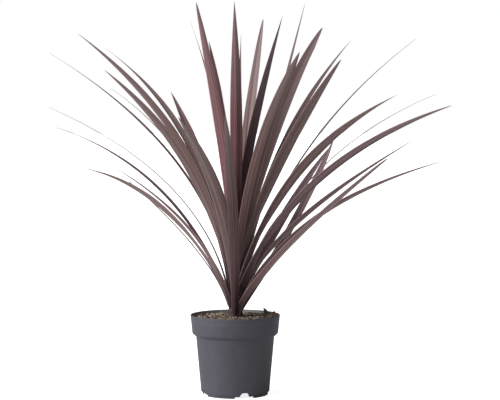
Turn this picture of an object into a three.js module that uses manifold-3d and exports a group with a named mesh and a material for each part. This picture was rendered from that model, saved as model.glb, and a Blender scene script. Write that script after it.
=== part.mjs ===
// A young cordyline in a nursery pot: a fountain of long sword-shaped leaves on a short cane.
// Millimetres, +Z up, +X to the right, -Y to the front. The origin is on the floor, under the pot's middle.
import * as THREE from "three";
import { mergeVertices } from "three/addons/utils/BufferGeometryUtils.js";
import Module from "manifold-3d";

const wasm = await Module();
wasm.setup();

// Driving dimensions of the pot
const POT_HEIGHT = 152;
const RIM_RADIUS = 85;
const RIM_LOW_RADIUS = 81.4;
const RIM_DEPTH = 35.6;
const RIM_STEP = 5.7;
const BODY_TOP_RADIUS = 74.3;
const BODY_LOW_RADIUS = 64.8;
const FOOT_RADIUS = 62;
const FOOT_HEIGHT = 5;
const WALL = 1.6;
const FLOOR_UNDERSIDE = 12;
const POT_SIDES = 48;

// Arched notches in the foot ring and drain holes in the floor
const NOTCH_COUNT = 4;
const NOTCH_AZIMUTH = -73.4;
const NOTCH_WIDTH = 17.5;
const NOTCH_HEIGHT = 11;
const SHALLOW_WIDTH = 37;
const SHALLOW_HEIGHT = 3.5;
const ARCH_ROUNDING = 0.6;
const ARCH_CUT = 20;
const DRAIN_COUNT = 8;
const DRAIN_RADIUS = 5;
const DRAIN_CIRCLE = 44;

// Soil. GAP is the clearance between pieces that stand in one another.
const GAP = 0.3;
const SOIL_TOP = 145.5;
const SOIL_MOUND = 2.5;
const SOIL_RELIEF = 1.6;
const SOIL_RINGS = 12;

// Two bark chips that stick out of the soil at the right, each the hull of its corners
const CHIPS = [
  [[53.5, 34, 162], [55, 30, 143], [56, 39, 143], [70, 38, 143],
    [69, 29, 143], [64, 32, 153.5], [63, 36, 153]],
  [[74.5, 18, 157], [66, 15, 143], [67, 23, 143], [77, 22, 143],
    [77, 13, 143], [77.5, 17, 152], [70, 19, 153]],
];

// The main cane and a short side shoot behind it. Heights and depths are from the level of the soil.
const CANE_SIDES = 20;
const CANE_END_TAPER = 0.7;
const CANE_TOP_TAPER = 0.5;
const CANES = [
  { name: "stem", x: 0, y: 0, depth: 45, height: 134, footRadius: 13, topRadius: 5 },
  { name: "side_shoot", x: 7, y: 38, depth: 30, height: 34, footRadius: 3.5, topRadius: 2.5 },
];

// Leaf blades: a section folded along the midrib, thicker at the neck. The shares are of the blade's length,
// and the folds are the rise of each half in degrees. The neck stands off the cane's axis by ROOT_REACH times
// the cane's radius plus ROOT_SET.
const LEAF_STEPS = 14;
const LEAF_THICKNESS = 0.9;
const LEAF_BASE_THICKNESS = 1.6;
const NECK_WIDTH = 8;
const WIDEST_AT = 0.55;
const TIP_WIDTH = 0.9;
const FOLD_BASE = 38;
const FOLD_BLADE = 18;
const SETTLED_AT = 0.35;
const ROLL_FROM = 0.05;
const NECK_EASE = 1.2;
const ROOT_REACH = 1.1;
const ROOT_SET = 1.8;

const rad = THREE.MathUtils.degToRad;

// Each leaf from the lowest root to the topmost one, on the side shoot where cane is 1. root is its height
// above the soil, tip the place of its point and width its widest. The curve bends towards a knee: knee is
// how far out that lies, bow how far above the straight line and sway how far to its side, as shares of the
// length. roll is the turn of the blade about its own line, in degrees. taper is below 1 for a blade that
// stays wide towards its tip and above 1 for a slender one. tone names its colour. A value that a row leaves
// out is in LEAF_DEFAULTS.
const LEAF_DEFAULTS = { cane: 0, bow: 0, knee: 0.4, sway: 0, roll: 0, taper: 1 };
const LEAVES = [
  { cane: 1, root: 2.5, tip: [202, 330, 479], width: 20, bow: -0.035, knee: 0.65, sway: -0.02,
    taper: 0.7, tone: "dark" },
  { root: 3.5, tip: [-14, -365, 532], width: 20, bow: 0.13, sway: 0.012, taper: 0.7, tone: "mauve" },
  { root: 5, tip: [262, -350, 458], width: 21, bow: 0.112, knee: 0.12, sway: 0.02, taper: 0.4,
    tone: "pink" },
  { cane: 1, root: 9, tip: [150, 300, 380], width: 17, bow: 0.2, taper: 0.9, tone: "brown" },
  { root: 14, tip: [-50, 250, 390], width: 18, bow: 0.11, taper: 0.9, tone: "brown" },
  { root: 16, tip: [381, -230, 453], width: 17, bow: 0.221, knee: 0.35, roll: -20, tone: "brown" },
  { cane: 1, root: 17, tip: [30, 270, 360], width: 18, bow: 0.15, taper: 0.9, tone: "mauve" },
  { root: 19.5, tip: [-372, 300, 504], width: 9, bow: 0.232, knee: 0.44, sway: -0.03, roll: -10,
    taper: 1.1, tone: "dark" },
  { root: 20, tip: [-212, -180, 435], width: 13, bow: 0.187, sway: 0.02, taper: 0.7, tone: "dark" },
  { root: 21, tip: [-266, 20, 457], width: 9, bow: 0.132, knee: 0.28, taper: 1.3, tone: "brown" },
  { root: 22, tip: [-94, -340, 527], width: 26, bow: 0.17, sway: 0.052, taper: 0.7, tone: "mauve" },
  { root: 24, tip: [-138, 365, 578], width: 27, bow: 0.1, sway: -0.03, taper: 0.8, tone: "brown" },
  { root: 24.5, tip: [349, -100, 497], width: 17, bow: 0.174, knee: 0.22, roll: -28, taper: 1.2,
    tone: "dark" },
  { cane: 1, root: 25, tip: [189, 250, 463], width: 25, bow: 0.055, knee: 0.45, taper: 0.7, tone: "dark" },
  { root: 30, tip: [-370, 150, 545], width: 5, bow: 0.259, knee: 0.36, sway: -0.03, tone: "dark" },
  { root: 33, tip: [-291, -60, 433], width: 15, bow: 0.244, knee: 0.6, sway: 0.02, roll: 35,
    taper: 1.3, tone: "mauve" },
  { root: 33, tip: [100, 320, 470], width: 17, bow: 0.14, taper: 0.9, tone: "brown" },
  { root: 37.5, tip: [388, 80, 570], width: 7, bow: 0.228, knee: 0.48, taper: 1.5, tone: "brown" },
  { root: 41, tip: [20, 360, 500], width: 20, bow: 0.15, taper: 0.9, tone: "dark" },
  { root: 42, tip: [-390, 330, 659], width: 9, bow: 0.232, knee: 0.31, sway: -0.03, taper: 1.3,
    tone: "dark" },
  { root: 42, tip: [-230, -210, 610], width: 19, bow: 0.2, knee: 0.46, sway: 0.03, roll: 25,
    taper: 0.8, tone: "dark" },
  { root: 44, tip: [376, -300, 547], width: 17, bow: 0.222, knee: 0.42, roll: -35, taper: 0.7,
    tone: "brown" },
  { root: 49.5, tip: [359, 160, 682], width: 8, bow: 0.163, knee: 0.47, sway: 0.03, taper: 1.3,
    tone: "dark" },
  { root: 50, tip: [-30, 340, 560], width: 20, bow: 0.12, taper: 0.9, tone: "burgundy" },
  { root: 51, tip: [295, -150, 567], width: 22, bow: 0.222, knee: 0.5, sway: -0.02, roll: -35,
    taper: 1.15, tone: "brown" },
  { root: 53, tip: [-242, 100, 581], width: 6, bow: 0.226, knee: 0.5, sway: -0.02, taper: 1.3,
    tone: "mauve" },
  { root: 57, tip: [0, 300, 590], width: 20, bow: 0.1, taper: 0.9, tone: "mauve" },
  { root: 66, tip: [117, -170, 643], width: 31, bow: 0.112, knee: 0.47, sway: -0.022, roll: -30,
    taper: 0.7, tone: "brown" },
  { root: 66, tip: [170, 290, 685], width: 9, bow: 0.13, taper: 1.2, tone: "dark" },
  { root: 68.5, tip: [-272, 300, 668], width: 18, bow: 0.198, knee: 0.5, sway: -0.05, taper: 1.7,
    tone: "brown" },
  { root: 75, tip: [229, 180, 678], width: 15, bow: 0.141, knee: 0.5, sway: 0.01, roll: 10, tone: "brown" },
  { root: 78, tip: [-300, 20, 685], width: 22, bow: 0.2, knee: 0.46, sway: 0.03, roll: 42,
    tone: "burgundy" },
  { root: 79, tip: [197, -60, 633], width: 29, bow: 0.103, knee: 0.36, sway: 0.02, roll: -35,
    taper: 0.6, tone: "brown" },
  { root: 82, tip: [10, 200, 695], width: 9, bow: 0.03, sway: -0.004, tone: "mauve" },
  { root: 88, tip: [173, 200, 704], width: 28, bow: 0.122, knee: 0.5, roll: 20, taper: 0.6, tone: "dark" },
  { root: 91, tip: [-92, 220, 718], width: 7, bow: 0.15, knee: 0.45, sway: -0.02, taper: 1.8,
    tone: "burgundy" },
  { root: 102, tip: [54, 130, 718], width: 23, bow: 0.03, sway: 0.016, taper: 0.6, tone: "pink" },
  { root: 102, tip: [-68, -180, 731], width: 21, bow: 0.088, knee: 0.3, sway: 0.013, roll: 30,
    taper: 0.6, tone: "burgundy" },
  { root: 111, tip: [133, 40, 743], width: 15, bow: -0.004, sway: -0.008, roll: 12, taper: 0.9,
    tone: "brown" },
  { root: 114, tip: [-51, 45, 671], width: 21, bow: 0.046, knee: 0.5, sway: -0.02, taper: 0.7,
    tone: "burgundy" },
  { root: 120, tip: [89, -20, 715], width: 22, bow: 0.069, knee: 0.3, roll: -40, taper: 0.9, tone: "dark" },
  { root: 129, tip: [-1, -60, 741], width: 24, sway: 0.012, taper: 0.9, tone: "burgundy" },
];

const TONES = {
  burgundy: 0x6f474a,
  brown: 0x66504c,
  dark: 0x413338,
  mauve: 0x75676b,
  pink: 0x9a8083,
};

const POT_MATERIAL = new THREE.MeshStandardMaterial({ color: 0x4b4a50, roughness: 0.7, metalness: 0 });
const SOIL_MATERIAL = new THREE.MeshStandardMaterial({ color: 0x5b4638, roughness: 1, metalness: 0 });
const CANE_MATERIAL = new THREE.MeshStandardMaterial({ color: 0x4a3836, roughness: 0.8, metalness: 0 });

// Joins and cuts
function toSolid(geometry) {
  const bare = geometry.clone();
  bare.deleteAttribute("normal");
  bare.deleteAttribute("uv");
  const merged = mergeVertices(bare, 1e-4);
  return new wasm.Manifold(new wasm.Mesh({
    numProp: 3,
    vertProperties: new Float32Array(merged.attributes.position.array),
    triVerts: new Uint32Array(merged.index.array),
  }));
}

function toGeometry(solid) {
  const mesh = solid.getMesh();
  const geometry = new THREE.BufferGeometry();
  geometry.setAttribute("position", new THREE.BufferAttribute(new Float32Array(mesh.vertProperties), 3));
  geometry.setIndex(new THREE.BufferAttribute(new Uint32Array(mesh.triVerts), 1));
  geometry.computeVertexNormals();
  return geometry;
}

// A round body about +Z from [radius, height] points that run counterclockwise, foot first
function turned(points, sides) {
  const profile = points.map(([radius, height]) => new THREE.Vector2(radius, height));
  return new THREE.LatheGeometry(profile, sides).rotateX(Math.PI / 2);
}

function mesh(name, geometry, material) {
  const piece = new THREE.Mesh(geometry, material);
  piece.name = name;
  return piece;
}

// The pot: one thin wall all round, with a raised floor inside a foot ring
const RIM_LOW = POT_HEIGHT - RIM_DEPTH;
const BODY_TOP = RIM_LOW - RIM_STEP;
const FLOOR_TOP = FLOOR_UNDERSIDE + WALL;

function bodyRadius(height) {
  const share = (height - FOOT_HEIGHT) / (BODY_TOP - FOOT_HEIGHT);
  return THREE.MathUtils.lerp(BODY_LOW_RADIUS, BODY_TOP_RADIUS, share);
}

function potShell() {
  const ringInside = FOOT_RADIUS - WALL;
  return toSolid(turned([
    [0, FLOOR_UNDERSIDE],
    [ringInside, FLOOR_UNDERSIDE],
    [ringInside, 0],
    [FOOT_RADIUS, 0],
    [FOOT_RADIUS, FOOT_HEIGHT],
    [BODY_LOW_RADIUS, FOOT_HEIGHT + 1],
    [BODY_TOP_RADIUS, BODY_TOP],
    [RIM_LOW_RADIUS, RIM_LOW],
    [RIM_RADIUS, POT_HEIGHT - WALL / 2],
    [RIM_RADIUS - WALL / 2, POT_HEIGHT],
    [RIM_RADIUS - WALL, POT_HEIGHT - WALL / 2],
    [RIM_LOW_RADIUS - WALL, RIM_LOW],
    [BODY_TOP_RADIUS - WALL, BODY_TOP],
    [bodyRadius(FLOOR_TOP) - WALL, FLOOR_TOP],
    [0, FLOOR_TOP],
  ], POT_SIDES));
}

// An arch that is cut through the foot ring, along the radius at that azimuth
function archCutter(width, height, azimuth) {
  const half = width / 2;
  const corner = Math.min(half, height) * ARCH_ROUNDING;
  const arch = new THREE.Shape();
  arch.moveTo(-half, -1);
  arch.lineTo(half, -1);
  arch.lineTo(half, height - corner);
  arch.quadraticCurveTo(half, height, half - corner, height);
  arch.lineTo(corner - half, height);
  arch.quadraticCurveTo(-half, height, -half, height - corner);
  const cutter = new THREE.ExtrudeGeometry(arch, { depth: ARCH_CUT, bevelEnabled: false, curveSegments: 4 });
  cutter.rotateX(Math.PI / 2).translate(0, ARCH_CUT / 2 - FOOT_RADIUS, 0).rotateZ(rad(azimuth + 90));
  return toSolid(cutter);
}

function drainCutter(azimuth) {
  const hole = new THREE.CylinderGeometry(DRAIN_RADIUS, DRAIN_RADIUS, 4 * WALL, 16);
  hole.rotateX(Math.PI / 2).translate(DRAIN_CIRCLE, 0, FLOOR_UNDERSIDE + WALL / 2).rotateZ(azimuth);
  return toSolid(hole);
}

function pot() {
  let shell = potShell();
  for (let i = 0; i < NOTCH_COUNT; i += 1) {
    const azimuth = NOTCH_AZIMUTH + (360 / NOTCH_COUNT) * i;
    shell = shell.subtract(archCutter(NOTCH_WIDTH, NOTCH_HEIGHT, azimuth));
    shell = shell.subtract(archCutter(SHALLOW_WIDTH, SHALLOW_HEIGHT, azimuth));
  }
  for (let i = 0; i < DRAIN_COUNT; i += 1) {
    shell = shell.subtract(drainCutter((2 * Math.PI * (i + 0.5)) / DRAIN_COUNT));
  }
  return mesh("pot", toGeometry(shell), POT_MATERIAL);
}

// The soil fills the pot, with a low mound, coarse relief and a plain hole for the cane
function soilHeight(radius, azimuth) {
  const mound = SOIL_MOUND * (1 - (radius / RIM_RADIUS) ** 2);
  const across = radius * Math.cos(azimuth);
  const along = radius * Math.sin(azimuth);
  const coarse = Math.sin(across * 0.41 + 1.3) * Math.cos(along * 0.37 - 0.6);
  const fine = Math.sin(across * 1.13 - along * 0.7) * Math.cos(along * 0.93 + across * 0.31);
  return SOIL_TOP + mound + SOIL_RELIEF * (0.6 * coarse + 0.4 * fine);
}

function soilBody() {
  const outer = (POT_HEIGHT - RIM_LOW) / (RIM_RADIUS - RIM_LOW_RADIUS);
  const topRadius = RIM_LOW_RADIUS + (SOIL_TOP - RIM_LOW) / outer - WALL - GAP;
  const points = [
    [0, FLOOR_TOP + GAP],
    [bodyRadius(FLOOR_TOP) - WALL - GAP, FLOOR_TOP + GAP],
    [BODY_TOP_RADIUS - WALL - GAP, BODY_TOP + GAP],
    [RIM_LOW_RADIUS - WALL - GAP, RIM_LOW + GAP],
    [topRadius, SOIL_TOP],
  ];
  for (let i = SOIL_RINGS - 1; i >= 0; i -= 1) {
    points.push([(topRadius * i) / SOIL_RINGS, SOIL_TOP]);
  }
  const body = turned(points, POT_SIDES);
  const place = body.attributes.position;
  for (let i = 0; i < place.count; i += 1) {
    const radius = Math.hypot(place.getX(i), place.getY(i));
    const onTop = place.getZ(i) > SOIL_TOP - 1e-3 && radius < topRadius - 1e-3;
    if (onTop) {
      place.setZ(i, soilHeight(radius, Math.atan2(place.getY(i), place.getX(i))));
    }
  }
  return toSolid(body);
}

function caneRadius(cane, height) {
  const share = THREE.MathUtils.clamp(height / cane.height, 0, 1);
  return THREE.MathUtils.lerp(cane.footRadius, cane.topRadius, share);
}

function caneBody(cane, extra) {
  const top = SOIL_TOP + cane.height + extra;
  const body = turned([
    [0, SOIL_TOP - cane.depth - extra],
    [cane.footRadius * CANE_END_TAPER + extra, SOIL_TOP - cane.depth - extra],
    [cane.footRadius + extra, SOIL_TOP],
    [cane.topRadius + extra, top - cane.topRadius],
    [cane.topRadius * CANE_TOP_TAPER + extra, top],
    [0, top],
  ], CANE_SIDES);
  return toSolid(body.translate(cane.x, cane.y, 0));
}

function soil() {
  let body = soilBody();
  for (const corners of CHIPS) {
    body = body.add(wasm.Manifold.hull(corners));
  }
  for (const cane of CANES) {
    body = body.subtract(caneBody(cane, GAP));
  }
  return mesh("soil", toGeometry(body), SOIL_MATERIAL);
}

function canePiece(cane) {
  return mesh(cane.name, toGeometry(caneBody(cane, 0)), CANE_MATERIAL);
}

// The middle line of a leaf: a quadratic curve from the cane to the tip
function middleLine(leaf) {
  const tip = new THREE.Vector3(...leaf.tip);
  const cane = CANES[leaf.cane];
  const azimuth = Math.atan2(tip.y - cane.y, tip.x - cane.x);
  const out = new THREE.Vector3(Math.cos(azimuth), Math.sin(azimuth), 0);
  const side = new THREE.Vector3(-out.y, out.x, 0);
  const root = new THREE.Vector3(cane.x, cane.y, SOIL_TOP + leaf.root);
  root.addScaledVector(out, ROOT_REACH * caneRadius(cane, leaf.root) + ROOT_SET);
  const chord = tip.clone().sub(root);
  const length = chord.length();
  const up = chord.clone().normalize().cross(side);
  const knee = root.clone().addScaledVector(chord, leaf.knee);
  knee.addScaledVector(up, leaf.bow * length).addScaledVector(side, leaf.sway * length);
  return { curve: new THREE.QuadraticBezierCurve3(root, knee, tip), side };
}

function halfWidth(leaf, t) {
  if (t < WIDEST_AT) {
    const rise = Math.sin((Math.PI / 2) * (t / WIDEST_AT)) ** NECK_EASE;
    return THREE.MathUtils.lerp(NECK_WIDTH, leaf.width, rise) / 2;
  }
  const fall = Math.cos((Math.PI / 2) * ((t - WIDEST_AT) / (1 - WIDEST_AT))) ** leaf.taper;
  return Math.max(leaf.width * fall, TIP_WIDTH) / 2;
}

// One cross-section: two folded halves, upper points first and then the lower ones, edge to edge
function section(leaf, line, t) {
  const middle = line.curve.getPoint(t);
  const along = line.curve.getTangent(t);
  const side = line.side.clone().addScaledVector(along, -line.side.dot(along)).normalize();
  const up = along.clone().cross(side);
  const turn = rad(leaf.roll) * THREE.MathUtils.smoothstep(t, ROLL_FROM, WIDEST_AT);
  side.applyAxisAngle(along, turn);
  up.applyAxisAngle(along, turn);
  const settle = THREE.MathUtils.smoothstep(t, 0, SETTLED_AT);
  const fold = rad(THREE.MathUtils.lerp(FOLD_BASE, FOLD_BLADE, settle));
  const thick = THREE.MathUtils.lerp(LEAF_BASE_THICKNESS, LEAF_THICKNESS, settle) / 2;
  const half = halfWidth(leaf, t);
  const point = (across, lift) => middle.clone().addScaledVector(side, across).addScaledVector(up, lift);
  const edgeAcross = half * Math.cos(fold);
  const edgeLift = half * Math.sin(fold);
  return [
    point(-edgeAcross, edgeLift + thick),
    point(0, thick),
    point(edgeAcross, edgeLift + thick),
    point(edgeAcross, edgeLift - thick),
    point(0, -thick),
    point(-edgeAcross, edgeLift - thick),
  ];
}

// A closed blade from its cross-sections, with its upper and lower faces split alike
function bladeGeometry(sections) {
  const ring = sections[0].length;
  const triangles = [];
  for (let i = 0; i + 1 < sections.length; i += 1) {
    for (let j = 0; j < ring; j += 1) {
      const a = i * ring + j;
      const b = i * ring + ((j + 1) % ring);
      const c = b + ring;
      const d = a + ring;
      const upper = j < 3;
      triangles.push(...(upper ? [a, c, b, a, d, c] : [a, d, b, b, d, c]));
    }
  }
  const last = (sections.length - 1) * ring;
  const cap = [[0, 4, 1], [0, 5, 4], [1, 3, 2], [1, 4, 3]];
  for (const [a, b, c] of cap) {
    triangles.push(a, c, b);
    triangles.push(last + a, last + b, last + c);
  }
  const geometry = new THREE.BufferGeometry();
  const places = new Float32Array(sections.flat().flatMap((p) => [p.x, p.y, p.z]));
  geometry.setAttribute("position", new THREE.BufferAttribute(places, 3));
  geometry.setIndex(triangles);
  geometry.computeVertexNormals();
  return geometry;
}

function leafPiece(row, index) {
  const leaf = { ...LEAF_DEFAULTS, ...row };
  const line = middleLine(leaf);
  const sections = [];
  for (let i = 0; i <= LEAF_STEPS; i += 1) {
    sections.push(section(leaf, line, i / LEAF_STEPS));
  }
  const number = String(index + 1).padStart(2, "0");
  const material = new THREE.MeshStandardMaterial({ color: TONES[leaf.tone], roughness: 0.55, metalness: 0 });
  return mesh(`leaf_${number}`, bladeGeometry(sections), material);
}

const plant = new THREE.Group();
plant.add(pot(), soil(), ...CANES.map(canePiece), ...LEAVES.map(leafPiece));

export default plant;
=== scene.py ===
import math
from typing import NamedTuple

import bmesh
import bpy
from bpy.props import FloatProperty, FloatVectorProperty, IntProperty, PointerProperty
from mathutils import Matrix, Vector, noise


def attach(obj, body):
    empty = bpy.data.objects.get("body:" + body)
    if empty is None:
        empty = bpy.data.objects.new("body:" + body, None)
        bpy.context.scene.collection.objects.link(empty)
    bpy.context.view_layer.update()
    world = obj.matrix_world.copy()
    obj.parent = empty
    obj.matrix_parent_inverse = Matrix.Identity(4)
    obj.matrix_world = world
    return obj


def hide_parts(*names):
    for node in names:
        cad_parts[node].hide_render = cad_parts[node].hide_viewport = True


bl_info = {
    "name": "Potted cordyline",
    "version": (1, 0, 0),
    "blender": (4, 5, 0),
    "location": "View3D > Sidebar > Cordyline",
    "description": "Grows a young red-leaved cordyline in a nursery pot around its frame",
    "category": "Add Mesh",
}

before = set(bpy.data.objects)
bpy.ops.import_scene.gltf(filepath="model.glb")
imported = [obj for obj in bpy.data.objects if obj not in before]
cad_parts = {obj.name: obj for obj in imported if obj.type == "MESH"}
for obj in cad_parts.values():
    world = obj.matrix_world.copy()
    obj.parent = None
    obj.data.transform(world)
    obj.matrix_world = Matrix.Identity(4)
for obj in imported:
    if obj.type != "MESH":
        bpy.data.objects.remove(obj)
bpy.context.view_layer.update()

MM = 0.001
BODY = "root"

# Pot: radii and heights of the outside, from the foot up, then the wall and the floor
POT_HEIGHT = 152
RIM_RADIUS = 85
RIM_LOW_RADIUS = 81.4
RIM_DEPTH = 35.6
RIM_STEP = 5.7
BODY_TOP_RADIUS = 74.3
BODY_LOW_RADIUS = 64.8
FOOT_RADIUS = 62
FOOT_HEIGHT = 5
WALL = 1.6
FLOOR_UNDERSIDE = 12
RIM_LOW = POT_HEIGHT - RIM_DEPTH
BODY_TOP = RIM_LOW - RIM_STEP
FLOOR_TOP = FLOOR_UNDERSIDE + WALL
POT_SEGMENTS = 144
FILLET_STEPS = 4

# Arched notches in the foot ring: a tall one with a shallow one beside it on both sides
NOTCH_COUNT = 4
NOTCH_AZIMUTH = -73.4
NOTCH_WIDTH = 17.5
NOTCH_HEIGHT = 11
SHALLOW_WIDTH = 37
SHALLOW_HEIGHT = 3.5
ARCH_STEPS = 8
ARCH_ROUND = 0.75
ARCH_CUT = 20
ARCH_BELOW = 2

# Drain holes in the floor
DRAIN_COUNT = 8
DRAIN_RADIUS = 5
DRAIN_CIRCLE = 44
DRAIN_SIDES = 32
DRAIN_CUT = 6 * WALL

# Soil, with its lumps as rows of their size, their height and where in the noise they are read
SOIL_TOP = 145.5
SOIL_MOUND = 2.5
SOIL_LUMPS = ((12, 1.3, 3.7), (4, 0.8, 9.1))
SOIL_RINGS = 46
SOIL_SEGMENTS = 150
SOIL_CLEAR = 0.4

# Bark chips that stick up at the right of the rim: each the hull of its corners, cut finer and dented
CHIPS = (
    (
        (53.5, 34, 162), (55, 30, 143), (56, 39, 143), (70, 38, 143),
        (69, 29, 143), (64, 32, 153.5), (63, 36, 153),
    ),
    (
        (74.5, 18, 157), (66, 15, 143), (67, 23, 143), (77, 22, 143),
        (77, 13, 143), (77.5, 17, 152), (70, 19, 153),
    ),
)
CHIP_SEED = 8
CHIP_CUTS = 5
CHIP_GRAIN = 2.5
CHIP_DENT = 0.7

# The angles, in degrees, above which an edge stays sharp
POT_SHARP = 40
SOIL_SHARP = 50
BARK_SHARP = 60


class Cane(NamedTuple):
    """A cane: where it stands, its depth and height from the level of the soil, and its radii."""
    node: str
    x: float
    y: float
    depth: float
    height: float
    foot_radius: float
    top_radius: float


CANES = (
    Cane("stem", 0, 0, 45, 134, 13, 5),
    Cane("side_shoot", 7, 38, 30, 34, 3.5, 2.5),
)


class Leaf(NamedTuple):
    """A leaf: root is its height on the cane above the soil, tip the place of its point, width its widest.

    It bends towards a knee: knee is how far out that lies, bow how far above the straight line and sway how
    far to its side, as shares of the length. roll turns the blade about its own line, in degrees. taper is
    below 1 for a blade that stays wide towards its tip. tone names its colour.
    """
    root: float
    tip: tuple
    width: float
    tone: str
    cane: int = 0
    bow: float = 0
    knee: float = 0.4
    sway: float = 0
    roll: float = 0
    taper: float = 1


LEAVES = (
    Leaf(cane=1, root=2.5, tip=(202, 330, 479), width=20, bow=-0.035, knee=0.65, sway=-0.02, taper=0.7,
         tone="ash"),
    Leaf(root=3.5, tip=(-14, -365, 532), width=20, bow=0.13, sway=0.012, taper=0.7, tone="umber"),
    Leaf(root=5, tip=(262, -350, 458), width=21, bow=0.112, knee=0.12, sway=0.02, taper=0.4, tone="pink"),
    Leaf(cane=1, root=9, tip=(150, 300, 380), width=17, bow=0.2, taper=0.9, tone="brown"),
    Leaf(root=14, tip=(-50, 250, 390), width=18, bow=0.11, taper=0.9, tone="brown"),
    Leaf(root=16, tip=(381, -230, 453), width=17, bow=0.221, knee=0.35, roll=-20, tone="fawn"),
    Leaf(cane=1, root=17, tip=(30, 270, 360), width=18, bow=0.15, taper=0.9, tone="mauve"),
    Leaf(root=19.5, tip=(-372, 300, 504), width=9, bow=0.232, knee=0.44, sway=-0.03, roll=-10,
         taper=1.1, tone="ash"),
    Leaf(root=20, tip=(-212, -180, 435), width=13, bow=0.187, sway=0.02, taper=0.7, tone="fawn"),
    Leaf(root=21, tip=(-266, 20, 457), width=9, bow=0.132, knee=0.28, taper=1.3, tone="ash"),
    Leaf(root=22, tip=(-94, -340, 527), width=26, bow=0.17, sway=0.052, taper=0.7, tone="mauve"),
    Leaf(root=24, tip=(-138, 365, 578), width=27, bow=0.1, sway=-0.03, taper=0.8, tone="burgundy"),
    Leaf(root=24.5, tip=(349, -100, 497), width=17, bow=0.174, knee=0.22, roll=-28, taper=1.2,
         tone="fawn"),
    Leaf(cane=1, root=25, tip=(189, 250, 463), width=25, bow=0.055, knee=0.45, taper=0.7, tone="dark"),
    Leaf(root=30, tip=(-370, 150, 545), width=5, bow=0.259, knee=0.36, sway=-0.03, tone="fawn"),
    Leaf(root=33, tip=(-291, -60, 433), width=15, bow=0.244, knee=0.6, sway=0.02, roll=35, taper=1.3,
         tone="silver"),
    Leaf(root=33, tip=(100, 320, 470), width=17, bow=0.14, taper=0.9, tone="brown"),
    Leaf(root=37.5, tip=(388, 80, 570), width=7, bow=0.228, knee=0.48, taper=1.5, tone="fawn"),
    Leaf(root=41, tip=(20, 360, 500), width=20, bow=0.15, taper=0.9, tone="dark"),
    Leaf(root=42, tip=(-390, 330, 659), width=9, bow=0.232, knee=0.31, sway=-0.03, taper=1.3,
         tone="fawn"),
    Leaf(root=42, tip=(-230, -210, 610), width=19, bow=0.2, knee=0.46, sway=0.03, roll=25, taper=0.8,
         tone="fawn"),
    Leaf(root=44, tip=(376, -300, 547), width=17, bow=0.222, knee=0.42, roll=-35, taper=0.7,
         tone="ash"),
    Leaf(root=49.5, tip=(359, 160, 682), width=8, bow=0.163, knee=0.47, sway=0.03, taper=1.3,
         tone="dark"),
    Leaf(root=50, tip=(-30, 340, 560), width=20, bow=0.12, taper=0.9, tone="burgundy"),
    Leaf(root=51, tip=(295, -150, 567), width=22, bow=0.222, knee=0.5, sway=-0.02, roll=-35,
         taper=1.15, tone="fawn"),
    Leaf(root=53, tip=(-242, 100, 581), width=6, bow=0.226, knee=0.5, sway=-0.02, taper=1.3,
         tone="mauve"),
    Leaf(root=57, tip=(0, 300, 590), width=20, bow=0.1, taper=0.9, tone="mauve"),
    Leaf(root=66, tip=(117, -170, 643), width=31, bow=0.112, knee=0.47, sway=-0.022, roll=-30,
         taper=0.7, tone="brown"),
    Leaf(root=66, tip=(170, 290, 685), width=9, bow=0.13, taper=1.2, tone="dark"),
    Leaf(root=68.5, tip=(-272, 300, 668), width=18, bow=0.198, knee=0.5, sway=-0.05, taper=1.7,
         tone="silver"),
    Leaf(root=75, tip=(229, 180, 678), width=15, bow=0.141, knee=0.5, sway=0.01, roll=10, tone="maroon"),
    Leaf(root=78, tip=(-300, 20, 685), width=22, bow=0.2, knee=0.46, sway=0.03, roll=42, tone="brown"),
    Leaf(root=79, tip=(197, -60, 633), width=29, bow=0.103, knee=0.36, sway=0.02, roll=-35, taper=0.6,
         tone="fawn"),
    Leaf(root=82, tip=(10, 200, 695), width=9, bow=0.03, sway=-0.004, tone="mauve"),
    Leaf(root=88, tip=(173, 200, 704), width=28, bow=0.122, knee=0.5, roll=20, taper=0.6, tone="maroon"),
    Leaf(root=91, tip=(-92, 220, 718), width=7, bow=0.15, knee=0.45, sway=-0.02, taper=1.8,
         tone="burgundy"),
    Leaf(root=102, tip=(54, 130, 718), width=23, bow=0.03, sway=0.016, taper=0.6, tone="fawn"),
    Leaf(root=102, tip=(-68, -180, 731), width=21, bow=0.088, knee=0.3, sway=0.013, roll=30, taper=0.6,
         tone="lit_burgundy"),
    Leaf(root=111, tip=(133, 40, 743), width=15, bow=-0.004, sway=-0.008, roll=12, taper=0.9,
         tone="dark"),
    Leaf(root=114, tip=(-51, 45, 671), width=21, bow=0.046, knee=0.5, sway=-0.02, taper=0.7,
         tone="lit_burgundy"),
    Leaf(root=120, tip=(89, -20, 715), width=22, bow=0.069, knee=0.3, roll=-40, taper=0.9, tone="dark"),
    Leaf(root=129, tip=(-1, -60, 741), width=24, sway=0.012, taper=0.9, tone="burgundy"),
)


class Bits(NamedTuple):
    """A kind of bit in the mix: how many a square metre, its lengths in mm, its form and its colours."""
    piece: str
    material: str
    density: float
    shortest: float
    longest: float
    flatness: float
    narrowness: float
    roughness: float
    seed: int
    stops: tuple


BITS = (
    Bits("crumbs", "Peat crumbs", 34000, 2.2, 4.6, 0.75, 0.8, 0.2, 3,
         ((0.0, "1b1512"), (0.4, "4b3f38"), (0.7, "8b796b"), (1.0, "c0b09f"))),
    Bits("bark_bits", "Composted bark bits", 15000, 4.0, 8.5, 0.35, 0.55, 0.25, 11,
         ((0.0, "251c18"), (0.35, "6d5b4f"), (0.75, "b09b87"), (1.0, "ddcdbb"))),
    Bits("pale_fibres", "Pale wood fibre", 4500, 3.0, 6.5, 0.25, 0.35, 0.12, 23,
         ((0.0, "b09d8a"), (0.6, "d3c4b2"), (1.0, "eee4d6"))),
)

# Where a neck stands off the cane's axis, as in the frame, and how far it reaches in to clasp the cane
ROOT_REACH = 1.1
ROOT_SET = 1.8
CLASP = 1.6

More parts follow.
